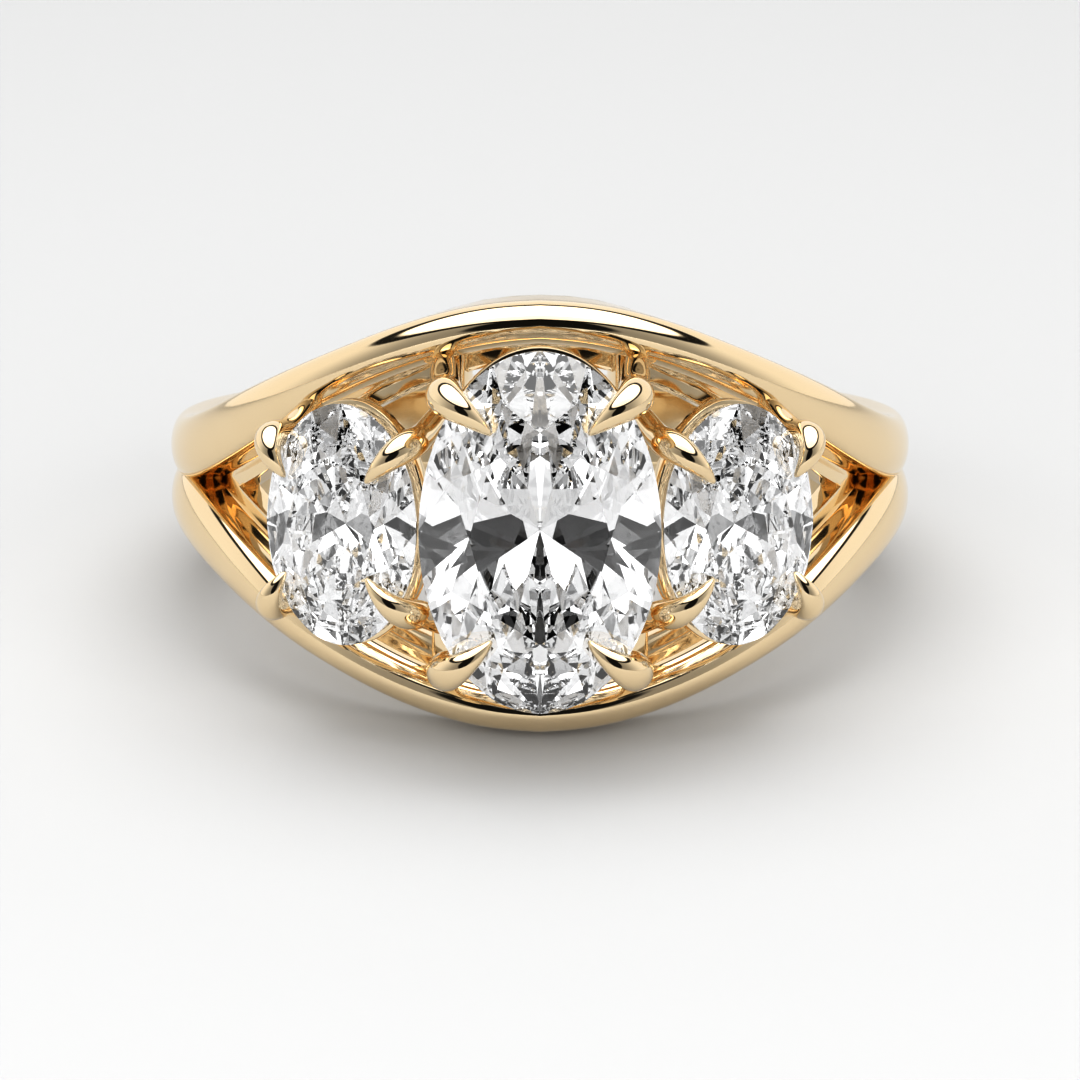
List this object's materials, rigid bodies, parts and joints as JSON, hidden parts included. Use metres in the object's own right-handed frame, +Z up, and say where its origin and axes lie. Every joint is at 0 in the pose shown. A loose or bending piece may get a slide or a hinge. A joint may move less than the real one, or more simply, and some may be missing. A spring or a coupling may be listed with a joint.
{
  "type": "three stone ring",
  "caption": "Gold finger ring whose split shank carries upright oval stones side by side in claw settings.",
  "frame": {"origin": "bottom centre of the ring as it lies on a table", "axes": "+Z up from the table, stones towards -Y, band's back towards +Y, +X to the right seen from the stones"},
  "size_m": [0.0204, 0.0242, 0.0112],
  "materials": {
    "gold": "polished yellow gold",
    "diamond": "cut and polished colourless stone"
  },
  "bodies": {
    "root": {"mount": "gold", "center_stone": "diamond", "left_stone": "diamond", "right_stone": "diamond"}
  },
  "joints": []
}
